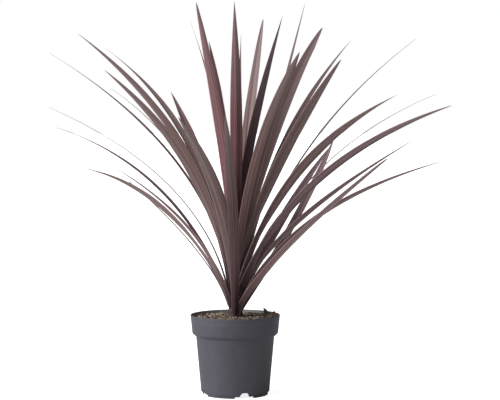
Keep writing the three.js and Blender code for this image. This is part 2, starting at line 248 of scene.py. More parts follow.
# Canes: each swells a little at the soil, narrows below it, has scar rings above it and a blunt top, and
# stays a hair inside its solid
FOOT_FLARE = 2.5
FLARE_HEIGHT = 26
BURIED_TAPER = 0.3
CANE_SHRINK = 0.1
SCAR_HEIGHT = 0.25
SCAR_STEP = 5
BLUNT_TOP = 0.15
CANE_SEGMENTS = 40

# Blades: the neck that clasps the cane is as wide as NECK_WIDTH, or narrower on a slender leaf
NECK_WIDTH = 20
SLIM_NECK = 3
NECK_SHARE = 0.9
TIP_WIDTH = 0.3
NECK_FOLD = 48
BLADE_FOLD = 15
NECK_THICKNESS = 1.4
BLADE_THICKNESS = 0.55

# A blade's section: the powers of the share across by which it lifts, thins and waves, how far across the
# keel reaches, and the half width from which on its relief is at full height
LIFT_POWER = 1.2
THIN_POWER = 4
WAVE_POWER = 2
KEEL_REACH = 0.2
FULL_RELIEF = 8

# A blade is closed from this share of its length on, and points this close in millimetres are welded
CLOSED_FROM = 0.9999
WELD = 0.002

# Waves along a blade, and how far apart the leaves' seeds and their waves are read
WAVES = 7
SEED_STEP = 0.618
WAVE_STEP = 3.7

# The bits of the potting mix: how far they tilt, in radians, and their dents, by number a metre and depth
BIT_TILT = 0.6
DENTS = 700
DENT_DEPTH = 4.0

# Colours. Dried dust pales the pot's skin in patches, and its inside wall, from just under the soil up, is
# paled further as painted light that stands in for the light it lacks in its shade
POT_GREY = "403f49"
POT_DUSTY = "4f4e56"
PAINTED_LIGHT_GREY = "a5a09c"
INSIDE_LIGHT_SHARE = 0.5
PAINTED_LIGHT_FROM = 139.8
# The cane's dark bark colour, which also paints the shade on the leaves' necks and crown
CANE_DARK_AND_LEAF_SHADE = "2a2023"
CANE_SCAR = "4f3f3e"
BARK_STOPS = ((0.0, "6b5647"), (1.0, "9a816c"))
# The paler grey towards a leaf's point: partly the blade's own colour and partly painted light shining
# through the thin blade
POINT_PALE_AND_LIGHT = "8d7c7d"

# The ground colour of each tone of leaf, and how much darker or lighter than that its layers are
# Some lighter tones are painted light: a lighter copy of burgundy, and ash and fawn on some leaves, make up
# for light on blades whose seen faces lie in shade; the rest is the leaves' own variety
TONES = {
    "burgundy": "69484c",
    "lit_burgundy": "8f666a",
    "brown": "5f4a48",
    "fawn": "776160",
    "ash": "6a5658",
    "mauve": "6b5655",
    "silver": "84706e",
    "maroon": "4e3639",
    "umber": "523c3e",
    "dark": "4a3439",
    "pink": "836a69",
}
DARK_BAND = 0.45
LIGHT_STREAK = 1.8
PALE_RIB = 1.7
PALE_MARGIN = 1.7

# The crown of leaf bases is darkened towards the cane's dark colour as painted shade, less and less from one
# height to the other
CROWN_SHADE_LOW = 150
CROWN_SHADE_HIGH = 260

# How wide a leaf's bands and veins are on a usual blade, which is BLADE_HALF from rib to margin
BLADE_HALF = 12
BAND_WIDTH = 4.6
VEIN_WIDTH = 2.4

# The stage: where the key light comes from, the floor, and the camera in millimetres and degrees
KEY_FROM = (-0.86, -0.34, 0.45)
FLOOR_SIZE = 40
FLOOR_GREY = 0.85
SENSOR_WIDTH = 36.0
FOCAL_PIXELS = 1747
IMAGE_WIDTH = 500
CAMERA_PLACE = (28, -3300, 535)
CAMERA_PITCH = 2.88

# The kinds of node that the trees use most
MATH = "ShaderNodeMath"
VECTOR = "ShaderNodeVectorMath"
RANGE = "ShaderNodeMapRange"
MIX = "ShaderNodeMix"
NOISE = "ShaderNodeTexNoise"
SPLIT = "ShaderNodeSeparateXYZ"
JOIN = "ShaderNodeCombineXYZ"


# Shared helpers


def srgb(code):
    """A linear RGBA colour from an sRGB hex code such as "6f474a"."""
    linear = []
    for i in (0, 2, 4):
        value = int(code[i:i + 2], 16) / 255
        linear.append(value / 12.92 if value <= 0.04045 else ((value + 0.055) / 1.055) ** 2.4)
    return (*linear, 1.0)


def shade(colour, factor):
    """A linear RGBA colour made darker or lighter by a factor."""
    return (*(min(1.0, part * factor) for part in colour[:3]), 1.0)


def per(size):
    """The scale of a texture whose features are that size in millimetres."""
    return 1 / (size * MM)


def add(tree, kind, inputs=(), **settings):
    """Adds a node with its settings. Its inputs, in order or by number or name, are linked or set."""
    node = tree.nodes.new(kind)
    for name, value in settings.items():
        setattr(node, name, value)
    pairs = inputs.items() if isinstance(inputs, dict) else enumerate(inputs)
    for socket, value in pairs:
        if isinstance(value, bpy.types.Node):
            value = value.outputs[0]
        if isinstance(value, bpy.types.NodeSocket):
            tree.links.new(value, node.inputs[socket])
        else:
            node.inputs[socket].default_value = value
    return node


def new_object(name, mesh):
    """An object at the origin that shows that mesh."""
    made = bpy.data.objects.new(name, mesh)
    bpy.context.scene.collection.objects.link(made)
    return made


def from_bmesh(name, shape, smooth_angle=None):
    """A mesh object from a bmesh, with outward faces and smooth shading up to an angle."""
    bmesh.ops.recalc_face_normals(shape, faces=shape.faces)
    if smooth_angle is not None:
        for face in shape.faces:
            face.smooth = True
        for edge in shape.edges:
            edge.smooth = len(edge.link_faces) == 2 and edge.calc_face_angle(0) < smooth_angle
    mesh = bpy.data.meshes.new(name)
    shape.to_mesh(mesh)
    shape.free()
    return new_object(name, mesh)


def plain_mesh(made):
    """Puts an object's evaluated mesh in place of its modifiers."""
    graph = bpy.context.evaluated_depsgraph_get()
    result = bpy.data.meshes.new_from_object(
        made.evaluated_get(graph), preserve_all_data_layers=True, depsgraph=graph
    )
    made.modifiers.clear()
    made.data = result
    return made


def grown(name, tree, values, carrier=None):
    """A plain mesh from a geometry node tree, with its inputs set by their identifiers."""
    made = new_object(name, carrier or bpy.data.meshes.new(name))
    modifier = made.modifiers.new(tree.name, "NODES")
    modifier.node_group = tree
    sockets = {
        item.name: item.identifier
        for item in tree.interface.items_tree
        if item.item_type == "SOCKET" and item.in_out == "INPUT"
    }
    for key, value in values.items():
        modifier[sockets[key]] = value
    return plain_mesh(made)


def new_tree(name, inputs):
    """A geometry node tree with named inputs: rows of name, socket type and default."""
    tree = bpy.data.node_groups.new(name, "GeometryNodeTree")
    tree.is_modifier = True
    for label, kind, default in inputs:
        socket = tree.interface.new_socket(label, in_out="INPUT", socket_type="NodeSocket" + kind)
        if default is not None:
            socket.default_value = default
    tree.interface.new_socket("Geometry", in_out="OUTPUT", socket_type="NodeSocketGeometry")
    return tree


def dress(piece, slot, *nodes):
    """Hands a finished piece to the frame: it rides on the body and replaces nodes. The slot is not used."""
    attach(piece, BODY)
    if nodes:
        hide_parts(*nodes)
    return piece


def set_material(piece, material):
    """Makes that the piece's only material."""
    piece.data.materials.clear()
    piece.data.materials.append(material)


def new_material(name):
    """An empty node material, and its tree."""
    material = bpy.data.materials.new(name)
    material.use_nodes = True
    material.node_tree.nodes.clear()
    return material, material.node_tree


def finish_material(tree, looks):
    """Ends a material in a Principled shader with those inputs."""
    shader = add(tree, "ShaderNodeBsdfPrincipled", looks)
    add(tree, "ShaderNodeOutputMaterial", {"Surface": shader})


def set_stops(ramp, stops):
    """Gives a colour ramp its stops: rows of share and sRGB hex."""
    elements = ramp.color_ramp.elements
    while len(elements) < len(stops):
        elements.new(1.0)
    for element, (position, code) in zip(elements, stops):
        element.position = position
        element.color = srgb(code)


# Materials


def inside_painted_light(tree, place):
    """The share of painted light on the pot: the inside share on the shaded inside wall above the soil, and
    none elsewhere.
    """
    level = add(tree, VECTOR, (place, (1, 1, 0)), operation="MULTIPLY")
    reach = add(tree, VECTOR, (level,), operation="LENGTH").outputs["Value"]
    lip = (RIM_RADIUS - WALL) * MM
    inside = add(tree, RANGE, (reach, lip, lip + WALL / 3 * MM, INSIDE_LIGHT_SHARE, 0.0))
    height = add(tree, SPLIT, (place,)).outputs["Z"]
    above = add(tree, MATH, (height, PAINTED_LIGHT_FROM * MM), operation="GREATER_THAN")
    return add(tree, MATH, (inside, above), operation="MULTIPLY")


def pot_material():
    """Injection-moulded dark grey polypropylene: a matte, faintly mottled skin with a soft broad gloss."""
    settings = bpy.context.scene.cordyline_pot
    material, tree = new_material("Polypropylene moulded matte grey")
    place = add(tree, "ShaderNodeTexCoord").outputs["Object"]
    # Flow mottling of about 15 mm, and a skin grain of about 1 mm, coarser than real so that it shows
    mottle = add(tree, NOISE, {"Vector": place, "Scale": per(15.4), "Detail": 3, "Roughness": 0.6})
    grain = add(tree, NOISE, {"Vector": place, "Scale": per(1.11), "Detail": 2, "Roughness": 0.5})
    tint = add(tree, RANGE, (mottle, 0.35, 0.75, 0.0, 0.5))
    skin = {0: tint, 6: (*settings.colour, 1), 7: srgb(POT_DUSTY)}
    colour = add(tree, MIX, skin, data_type="RGBA").outputs[2]
    # Painted light: the shaded inside wall above the soil is paled towards a light grey
    painted_light_mix = {0: inside_painted_light(tree, place), 6: colour, 7: srgb(PAINTED_LIGHT_GREY)}
    finish_material(tree, {
        "Base Color": add(tree, MIX, painted_light_mix, data_type="RGBA").outputs[2],
        "Roughness": add(tree, RANGE, (mottle, 0.3, 0.7, 0.5, 0.62)),
        "Normal": add(tree, "ShaderNodeBump", {"Height": grain, "Strength": 0.12, "Distance": 0.2 * MM}),
        "IOR": 1.49,
        "Specular IOR Level": 0.5,
    })
    return material


def leaf_material(name, code):
    """A satin cordyline blade: veins in darker and paler streaks along it, a paler rib and margins, painted
    shade at its neck and low in the crown, and a paler point that is partly painted light.
    """
    material, tree = new_material(f"Cordyline leaf {name}")
    marks = add(tree, "ShaderNodeAttribute", attribute_name="blade", attribute_type="GEOMETRY")
    blade = marks.outputs["Vector"]
    across, along, _ = add(tree, SPLIT, (blade,)).outputs
    from_rib = add(tree, MATH, (across,), operation="ABSOLUTE")
    place = add(tree, "ShaderNodeTexCoord").outputs["Object"]
    height = add(tree, SPLIT, (place,)).outputs["Z"]

    # Bands and veins run along the blade, and are coarser than the real ones so that they show
    band_place = add(tree, VECTOR, (blade, (BLADE_HALF / BAND_WIDTH, 1.8, 7.0)), operation="MULTIPLY")
    vein_place = add(tree, VECTOR, (blade, (BLADE_HALF / VEIN_WIDTH, 1.2, 13.0)), operation="MULTIPLY")
    bands = add(tree, NOISE, {"Vector": band_place, "Scale": 1, "Detail": 2})
    veins = add(tree, NOISE, {"Vector": vein_place, "Scale": 1, "Detail": 2})

    # Layers over the ground colour: what each follows, from where to where, its share at both, its colour
    ground = srgb(code)
    layers = (
        (bands, 0.45, 0.7, 0.0, 0.7, "LINEAR", shade(ground, DARK_BAND)),
        (veins, 0.48, 0.7, 0.0, 0.8, "LINEAR", shade(ground, LIGHT_STREAK)),
        (from_rib, 0.02, 0.09, 0.75, 0.0, "SMOOTHSTEP", shade(ground, PALE_RIB)),
        # Painted shade: the neck darkens towards the cane's colour, where the leaves shade one another
        (along, 0.02, 0.36, 0.45, 0.0, "SMOOTHSTEP", srgb(CANE_DARK_AND_LEAF_SHADE)),
        # Painted shade: low in the crown the blades darken, less and less up to the crown's top
        (height, CROWN_SHADE_LOW * MM, CROWN_SHADE_HIGH * MM, 0.5, 0.0, "LINEAR", srgb(CANE_DARK_AND_LEAF_SHADE)),
        # Towards the point the blade pales: partly its own greyer colour and partly painted light shining
        # through it
        (along, 0.55, 1.0, 0.0, 0.5, "LINEAR", srgb(POINT_PALE_AND_LIGHT)),
        (from_rib, 0.8, 0.93, 0.0, 0.7, "SMOOTHSTEP", shade(ground, PALE_MARGIN)),
    )
    colour = ground
    for reading, first, last, low, high, ease, layer in layers:
        share = add(tree, RANGE, (reading, first, last, low, high), interpolation_type=ease)
        colour = add(tree, MIX, {0: share, 6: colour, 7: layer}, data_type="RGBA").outputs[2]
    finish_material(tree, {
        "Base Color": colour,
        "Roughness": add(tree, RANGE, (veins, 0.3, 0.7, 0.38, 0.55)),
        "Normal": add(tree, "ShaderNodeBump", {"Height": veins, "Strength": 0.35, "Distance": 0.3 * MM}),
        "IOR": 1.42,
        "Specular IOR Level": 0.3,
    })
    return material


def cane_material():
    """Young cordyline cane: dull brown bark, ringed by the scars of shed leaves."""
    material, tree = new_material("Cordyline cane bark")
    place = add(tree, "ShaderNodeTexCoord").outputs["Object"]
    # Scar rings about 10 mm apart, as the wave turns by 20 radians in a unit, and fibres of about 2 mm
    rings = add(
        tree, "ShaderNodeTexWave",
        {"Vector": place, "Scale": math.tau / 20 * per(9.8), "Distortion": 2.5, "Detail": 2},
        bands_direction="Z",
    ).outputs["Fac"]
    fibres = add(tree, NOISE, {"Vector": place, "Scale": per(2.38), "Detail": 3})
    share = add(tree, MATH, (rings, fibres), operation="MULTIPLY")
    bark = {0: share, 6: srgb(CANE_DARK_AND_LEAF_SHADE), 7: srgb(CANE_SCAR)}
    finish_material(tree, {
        "Base Color": add(tree, MIX, bark, data_type="RGBA").outputs[2],
        "Roughness": 0.8,
        "Normal": add(tree, "ShaderNodeBump", {"Height": share, "Strength": 0.6, "Distance": 0.5 * MM}),
    })
    return material


def soil_material():
    """Moist potting mix: dark crumbs of 2 to 6 mm with dull brown and tan among them."""
    material, tree = new_material("Potting mix bed")
    place = add(tree, "ShaderNodeTexCoord").outputs["Object"]
    # Crumbs of about 3 mm in patches of about 8 mm
    crumbs = add(tree, "ShaderNodeTexVoronoi", {"Vector": place, "Scale": per(3.03), "Randomness": 1})
    patches = add(tree, NOISE, {"Vector": place, "Scale": per(8.33), "Detail": 4})
    ramp = add(tree, "ShaderNodeValToRGB", (patches,))
    set_stops(ramp, ((0.35, "2e221c"), (0.72, "7a6251")))
    finish_material(tree, {
        "Base Color": ramp,
        "Roughness": 0.95,
        "Normal": add(tree, "ShaderNodeBump", {"Height": crumbs, "Strength": 0.8, "Distance": 1.2 * MM}),
    })
    return material


def bits_material(name, stops):
    """Bits of the potting mix, each in its own colour along a ramp with those stops."""
    material, tree = new_material(name)
    tint = add(tree, "ShaderNodeAttribute", attribute_name="tint", attribute_type="GEOMETRY")
    place = add(tree, "ShaderNodeTexCoord").outputs["Object"]
    ramp = add(tree, "ShaderNodeValToRGB", {0: tint.outputs["Fac"]})
    set_stops(ramp, stops)
    # Fibres of about 1.5 mm in each bit
    fibres = add(tree, NOISE, {"Vector": place, "Scale": per(1.54), "Detail": 3})
    light = add(tree, RANGE, (fibres, 0.3, 0.7, 0.6, 1.15))
    finish_material(tree, {
        "Base Color": add(tree, VECTOR, (ramp, light), operation="MULTIPLY"),
        "Roughness": 0.85,
        "Normal": add(tree, "ShaderNodeBump", {"Height": fibres, "Strength": 0.5, "Distance": 0.4 * MM}),
    })
    return material


# The pot


def rounded(corners):
    """A profile in millimetres from (radius, height, fillet) corners, each fillet a short curve."""
    points = []
    for i, (radius, height, fillet) in enumerate(corners):
        here = Vector((radius, height))
        if not fillet:
            points.append(here)
            continue
        before = Vector(corners[i - 1][:2]) - here
        after = Vector(corners[(i + 1) % len(corners)][:2]) - here
        start = here + before.normalized() * min(fillet, before.length / 2)
        end = here + after.normalized() * min(fillet, after.length / 2)
        for k in range(FILLET_STEPS + 1):
            t = k / FILLET_STEPS
            points.append(start.lerp(here, t).lerp(here.lerp(end, t), t))
    return points


def circle(shape, radius, height, segments):
    """New vertices round +Z, from a radius and a height in millimetres."""
    reach, level = radius * MM, height * MM
    ring = []
    for k in range(segments):
        angle = 2 * math.pi * k / segments
        ring.append(shape.verts.new((reach * math.cos(angle), reach * math.sin(angle), level)))
    return ring


def bridge(shape, lower, upper):
    """Faces from one ring of vertices to another of as many."""
    for k in range(len(lower)):
        n = (k + 1) % len(lower)
        shape.faces.new((lower[k], lower[n], upper[n], upper[k]))


def fan(shape, middle, ring):
    """Faces from a ring of vertices to one in its middle."""
    for k in range(len(ring)):
        shape.faces.new((ring[k], ring[(k + 1) % len(ring)], middle))


def turned(profile, segments):
    """A bmesh turned about +Z from a profile in millimetres, whose first and last points are on the axis."""
    shape = bmesh.new()
    first_pole = shape.verts.new((0, 0, profile[0].y * MM))
    rings = [circle(shape, point.x, point.y, segments) for point in profile[1:-1]]
    last_pole = shape.verts.new((0, 0, profile[-1].y * MM))
    fan(shape, first_pole, rings[0])
    for lower, upper in zip(rings, rings[1:]):
        bridge(shape, lower, upper)
    fan(shape, last_pole, rings[-1])
    return shape


def body_radius(height):
    """The outside radius of the pot's tapered body at a height above its foot ring."""
    share = (height - FOOT_HEIGHT) / (BODY_TOP - FOOT_HEIGHT)
    return BODY_LOW_RADIUS + (BODY_TOP_RADIUS - BODY_LOW_RADIUS) * share


def pot_profile():
    """The pot's section, from under the middle of its floor round the outside to the top of the floor."""
    inside_foot = FOOT_RADIUS - WALL
    return rounded((
        (0, FLOOR_UNDERSIDE, 0),
        (inside_foot, FLOOR_UNDERSIDE, 2),
        (inside_foot, 0, 0.5),
        (FOOT_RADIUS, 0, 0.7),
        (FOOT_RADIUS, FOOT_HEIGHT, 0.8),
        (BODY_LOW_RADIUS, FOOT_HEIGHT + 1, 1.2),
        (BODY_TOP_RADIUS, BODY_TOP, 1.2),
        (RIM_LOW_RADIUS, RIM_LOW, 2.2),
        (RIM_RADIUS, POT_HEIGHT - WALL / 2, 0.8),
        (RIM_RADIUS - WALL / 2, POT_HEIGHT, 0.6),
        (RIM_RADIUS - WALL, POT_HEIGHT - WALL / 2, 0.8),
        (RIM_LOW_RADIUS - WALL, RIM_LOW, 1.5),
        (BODY_TOP_RADIUS - WALL, BODY_TOP, 1.5),
        (body_radius(FLOOR_TOP) - WALL, FLOOR_TOP, 2),
        (0, FLOOR_TOP, 0),
    ))


def arch_cutter(width, height, azimuth):
    """A tunnel with a rounded top, through the foot ring along the radius at that azimuth."""
    half = width / 2
    corner = min(half, height) * ARCH_ROUND
    outline = [(-half, -ARCH_BELOW), (half, -ARCH_BELOW)]
    for centre, first in ((half - corner, 0), (corner - half, 90)):
        for k in range(ARCH_STEPS + 1):
            angle = math.radians(first + 90 * k / ARCH_STEPS)
            outline.append((centre + corner * math.cos(angle), height - corner + corner * math.sin(angle)))
    turn = math.radians(azimuth)
    outwards = Vector((math.cos(turn), math.sin(turn), 0))
    sideways = Vector((-math.sin(turn), math.cos(turn), 0))
    shape = bmesh.new()
    ends = []
    for reach in (FOOT_RADIUS - ARCH_CUT / 2, FOOT_RADIUS + ARCH_CUT / 2):
        ends.append([
            shape.verts.new((outwards * reach + sideways * across + Vector((0, 0, lift))) * MM)
            for across, lift in outline
        ])
    shape.faces.new(ends[0])
    shape.faces.new(list(reversed(ends[1])))
    bridge(shape, *ends)
    return from_bmesh("cutter", shape)


def drain_cutter(azimuth):
    """A drill for one drain hole at that azimuth."""
    shape = bmesh.new()
    bmesh.ops.create_cone(
        shape, cap_ends=True, segments=DRAIN_SIDES, radius1=DRAIN_RADIUS * MM, radius2=DRAIN_RADIUS * MM,
        depth=DRAIN_CUT * MM,
    )
    turn = math.radians(azimuth)
    middle = FLOOR_UNDERSIDE + WALL / 2
    place = Vector((DRAIN_CIRCLE * math.cos(turn), DRAIN_CIRCLE * math.sin(turn), middle))
    bmesh.ops.translate(shape, verts=shape.verts, vec=place * MM)
    return from_bmesh("cutter", shape)


def cut(piece, cutters):
    """Cuts the cutters out of a piece, one after another, and removes them."""
    for cutter in cutters:
        boolean = piece.modifiers.new("cut", "BOOLEAN")
        boolean.operation = "DIFFERENCE"
        boolean.solver = "EXACT"
        boolean.object = cutter
    plain_mesh(piece)
    for cutter in cutters:
        bpy.data.objects.remove(cutter)


def make_pot():
    """The pot: a turned shell with its notches and drain holes cut."""
    pot = from_bmesh("nursery_pot", turned(pot_profile(), POT_SEGMENTS))
    cutters = []
    for i in range(NOTCH_COUNT):
        azimuth = NOTCH_AZIMUTH + 360 / NOTCH_COUNT * i
        cutters.append(arch_cutter(NOTCH_WIDTH, NOTCH_HEIGHT, azimuth))
        cutters.append(arch_cutter(SHALLOW_WIDTH, SHALLOW_HEIGHT, azimuth))
    for i in range(DRAIN_COUNT):
        cutters.append(drain_cutter(360 / DRAIN_COUNT * (i + 0.5)))
    cut(pot, cutters)
    pot.data.shade_smooth()
    pot.data.set_sharp_from_angle(angle=math.radians(POT_SHARP))
    set_material(pot, pot_material())
    dress(pot, "pot_plastic", "pot")


# The soil


def soil_top_radius():
    """The soil's radius at its top, just inside the pot's rim band."""
    slope = (RIM_RADIUS - RIM_LOW_RADIUS) / RIM_DEPTH
    return RIM_LOW_RADIUS + slope * (SOIL_TOP - POT_HEIGHT + RIM_DEPTH) - WALL - SOIL_CLEAR


def soil_height(x, y):
    """The height of the mix at a place in millimetres: a low mound with lumps."""
    height = SOIL_TOP + SOIL_MOUND * (1 - (x * x + y * y) / RIM_RADIUS ** 2)
    for size, rise, layer in SOIL_LUMPS:
        height += rise * noise.noise(Vector((x / size, y / size, layer)))
    return height


def soil_surface():
    """The top of the mix, as rings of points from the pot's wall to the middle, and the outermost ring."""
    shape = bmesh.new()
    radius = soil_top_radius()
    rings = []
    for i in range(SOIL_RINGS):
        ring = []
        for k in range(SOIL_SEGMENTS):
            angle = 2 * math.pi * k / SOIL_SEGMENTS
            reach = radius * (1 - i / SOIL_RINGS)
            x, y = reach * math.cos(angle), reach * math.sin(angle)
            height = soil_height(x, y) if i else SOIL_TOP
            ring.append(shape.verts.new(Vector((x, y, height)) * MM))
        rings.append(ring)
    for outer, inner in zip(rings, rings[1:]):
        bridge(shape, outer, inner)
    middle = shape.verts.new(Vector((0, 0, soil_height(0, 0))) * MM)
    fan(shape, middle, rings[-1])
    return shape, rings[0]


def make_soil():
    """The bed of mix, which fills the pot from its floor to the soil's top."""
    shape, upper = soil_surface()
    inside = WALL + SOIL_CLEAR
    below = (
        (RIM_LOW_RADIUS - inside, RIM_LOW + SOIL_CLEAR),
        (BODY_TOP_RADIUS - inside, BODY_TOP + SOIL_CLEAR),
        (body_radius(FLOOR_TOP) - inside, FLOOR_TOP + SOIL_CLEAR),
    )
    for radius, height in below:
        lower = circle(shape, radius, height, SOIL_SEGMENTS)
        bridge(shape, lower, upper)
        upper = lower
    shape.faces.new(list(reversed(upper)))
    soil = from_bmesh("potting_mix", shape, math.radians(SOIL_SHARP))
    set_material(soil, soil_material())
    dress(soil, "soil", "soil")


BITS_INPUTS = (
    ("Surface", "Geometry", None),
    ("Density", "Float", 30000.0),
    ("Shortest", "Float", 1.0 * MM),
    ("Longest", "Float", 2.5 * MM),
    ("Flatness", "Float", 0.6),
    ("Narrowness", "Float", 0.7),
    ("Roughness", "Float", 0.3 * MM),
    ("Seed", "Int", 1),
    ("Material", "Material", None),
)


def bits_tree():
    """Scatters bits over a surface: rough little lumps, stretched, turned and tinted at random."""
    tree = new_tree("Potting mix bits", BITS_INPUTS)
    given = add(tree, "NodeGroupInput").outputs
    points = add(
        tree, "GeometryNodeDistributePointsOnFaces",
        {"Mesh": given["Surface"], "Density": given["Density"], "Seed": given["Seed"]},
        distribute_method="RANDOM",
    )
    lump = add(tree, "GeometryNodeMeshIcoSphere", {"Radius": 0.5, "Subdivisions": 1})
    length = add(
        tree, "FunctionNodeRandomValue",
        {2: given["Shortest"], 3: given["Longest"], "Seed": given["Seed"]}, data_type="FLOAT",
    ).outputs[1]
    width = add(tree, MATH, (length, given["Narrowness"]), operation="MULTIPLY")
    thick = add(tree, MATH, (length, given["Flatness"]), operation="MULTIPLY")
    turn = add(
        tree, "FunctionNodeRandomValue",
        {0: (-BIT_TILT, -BIT_TILT, 0.0), 1: (BIT_TILT, BIT_TILT, math.tau), "Seed": given["Seed"]},
        data_type="FLOAT_VECTOR",
    )
    size = add(tree, JOIN, (length, width, thick))
    placed = add(
        tree, "GeometryNodeInstanceOnPoints",
        {"Points": points, "Instance": lump, "Rotation": turn, "Scale": size},
    )
    tint = add(tree, "FunctionNodeRandomValue", {2: 0.0, 3: 1.0, "Seed": 7}, data_type="FLOAT").outputs[1]
    tinted = add(
        tree, "GeometryNodeStoreNamedAttribute", {"Geometry": placed, "Name": "tint", "Value": tint},
        data_type="FLOAT", domain="INSTANCE",
    )
    solid = add(tree, "GeometryNodeRealizeInstances", (tinted,))
    where = add(tree, "GeometryNodeInputPosition")
    dents = add(tree, NOISE, {"Vector": where, "Scale": DENTS, "Detail": 1}).outputs["Color"]
    centred = add(tree, VECTOR, (dents, (0.5, 0.5, 0.5)), operation="SUBTRACT")
    depth = add(tree, MATH, (given["Roughness"], DENT_DEPTH), operation="MULTIPLY")
    push = add(tree, VECTOR, {0: centred, "Scale": depth}, operation="SCALE")
    rough = add(tree, "GeometryNodeSetPosition", {"Geometry": solid, "Offset": push})
    final = add(tree, "GeometryNodeSetMaterial", {"Geometry": rough, "Material": given["Material"]})
    add(tree, "NodeGroupOutput", (final,))
    return tree


def bits_bed(reach):
    """The mesh that bits are scattered over: the top of the mix, drawn in to a share of its radius."""
    shape, edge = soil_surface()
    bmesh.ops.delete(shape, geom=edge, context="VERTS")
    for vertex in shape.verts:
        vertex.co.x *= reach
        vertex.co.y *= reach
    bmesh.ops.recalc_face_normals(shape, faces=shape.faces)
    bed = bpy.data.meshes.new("bed")
    shape.to_mesh(bed)
    shape.free()
    return bed


def make_bits():
    """Crumbs, bark bits and fibres, each kind a piece that lies on the mix."""
    tree = bits_tree()
    settings = bpy.context.scene.cordyline_soil
    for kind in BITS:
        piece = grown(kind.piece, tree, {
            "Density": kind.density * settings.bits_share,
            "Shortest": kind.shortest * MM,
            "Longest": kind.longest * MM,
            "Flatness": kind.flatness,
            "Narrowness": kind.narrowness,
            "Roughness": kind.roughness * MM,
            "Seed": kind.seed,
            "Material": bits_material(kind.material, kind.stops),
        }, bits_bed(settings.bits_reach))
        dress(piece, "soil")


def make_chips():
    """Slabs of bark that stick up at the rim, with ragged faces."""
    material = bits_material("Bark slab", BARK_STOPS)
    noise.seed_set(CHIP_SEED)
    for i, corners in enumerate(CHIPS):
        shape = bmesh.new()
        for corner in corners:
            shape.verts.new(Vector(corner) * MM)
        hull = bmesh.ops.convex_hull(shape, input=shape.verts)
        loose = [v for v in hull["geom_interior"] if isinstance(v, bmesh.types.BMVert)]
        bmesh.ops.delete(shape, geom=loose, context="VERTS")
        bmesh.ops.subdivide_edges(shape, edges=shape.edges, cuts=CHIP_CUTS, use_grid_fill=True)
        for vertex in shape.verts:
            vertex.co += noise.noise_vector(vertex.co / MM / CHIP_GRAIN) * CHIP_DENT * MM
        piece = from_bmesh(f"bark_slab_{i + 1}", shape, math.radians(BARK_SHARP))
        set_material(piece, material)
        dress(piece, "soil")


# The canes


def cane_radius(cane, above):
    """A cane's radius at a height above the soil: it narrows evenly to its top."""
    share = max(0.0, min(1.0, above / cane.height))
    return cane.foot_radius + (cane.top_radius - cane.foot_radius) * share


def cane_profile(cane):
    """A cane's profile in millimetres, from its buried end to its blunt top."""
    profile = [Vector((0, SOIL_TOP - cane.depth))]
    length = cane.height + cane.depth
    steps = int(length)
    for k in range(steps + 1):
        height = SOIL_TOP - cane.depth + length * k / steps
        above = height - SOIL_TOP
        radius = cane_radius(cane, above) * (1 - BURIED_TAPER * max(0.0, -above) / cane.depth)
        radius += FOOT_FLARE * max(0.0, 1 - abs(above) / FLARE_HEIGHT) - CANE_SHRINK
        if above > 0:
            radius += SCAR_HEIGHT * max(0.0, math.sin(height * math.tau / SCAR_STEP)) ** 3
        blunt = math.sqrt(max(0.0, (cane.height - above) / cane.top_radius)) + BLUNT_TOP
        profile.append(Vector((radius * min(1.0, blunt), height)))
    profile.append(Vector((0, SOIL_TOP + cane.height)))
    return profile


def make_canes():
    """The main cane and the side shoot."""
    material = cane_material()
    for cane in CANES:
        shape = turned(cane_profile(cane), CANE_SEGMENTS)
        bmesh.ops.translate(shape, verts=shape.verts, vec=Vector((cane.x, cane.y, 0)) * MM)
        piece = from_bmesh(f"{cane.node}_cane", shape, math.radians(BARK_SHARP))
        set_material(piece, material)
        dress(piece, "cane", cane.node)


# The leaves


class Reading(NamedTuple):
    """The nodes that tell a point's place on a blade.

    along is its share of the length, and opened is 0 at the closed ends. across runs from -1 at one margin
    to 1 at the other, from_rib is its size, and face is 1 on the upper face and -1 on the lower.
    """
    along: object
    opened: object
    across: object
    from_rib: object
    face: object


def blade_sheet(tree, given):
    """A flat sheet to bend: columns go once round the section, rows go along, and the end rows close it."""
    rows = add(tree, MATH, (given["Steps"], 2), operation="ADD")
    columns = add(tree, MATH, (given["Half Divisions"], 4, 1), operation="MULTIPLY_ADD")
    sheet = add(tree, "GeometryNodeMeshGrid", (1, 1, columns, rows))
    position = add(tree, "GeometryNodeInputPosition")
    place = add(tree, SPLIT, (position,)).outputs

    spaces = add(tree, MATH, (rows, 1), operation="SUBTRACT")
    first_row = add(tree, MATH, (1, spaces), operation="DIVIDE")
    half_row = add(tree, MATH, (first_row, 0.5), operation="MULTIPLY")
    row = add(tree, MATH, (place["Y"], 0.5), operation="ADD")
    along = add(tree, RANGE, (row, first_row, 1, 0, 1))
    past_neck = add(tree, MATH, (row, half_row), operation="GREATER_THAN")
    before_tip = add(tree, MATH, (along, CLOSED_FROM), operation="LESS_THAN")
    opened = add(tree, MATH, (past_neck, before_tip), operation="MULTIPLY")

    # Over the top from margin to margin and back underneath
    turn = add(tree, MATH, (place["X"], 4), operation="MULTIPLY")
    passed = add(tree, MATH, (turn,), operation="ABSOLUTE")
    across = add(tree, MATH, (1, passed), operation="SUBTRACT")
    from_rib = add(tree, MATH, (across,), operation="ABSOLUTE")
    flipped = add(tree, MATH, (place["X"], -1), operation="MULTIPLY")
    face = add(tree, MATH, (flipped,), operation="SIGN")
    return sheet, Reading(along, opened, across, from_rib, face)


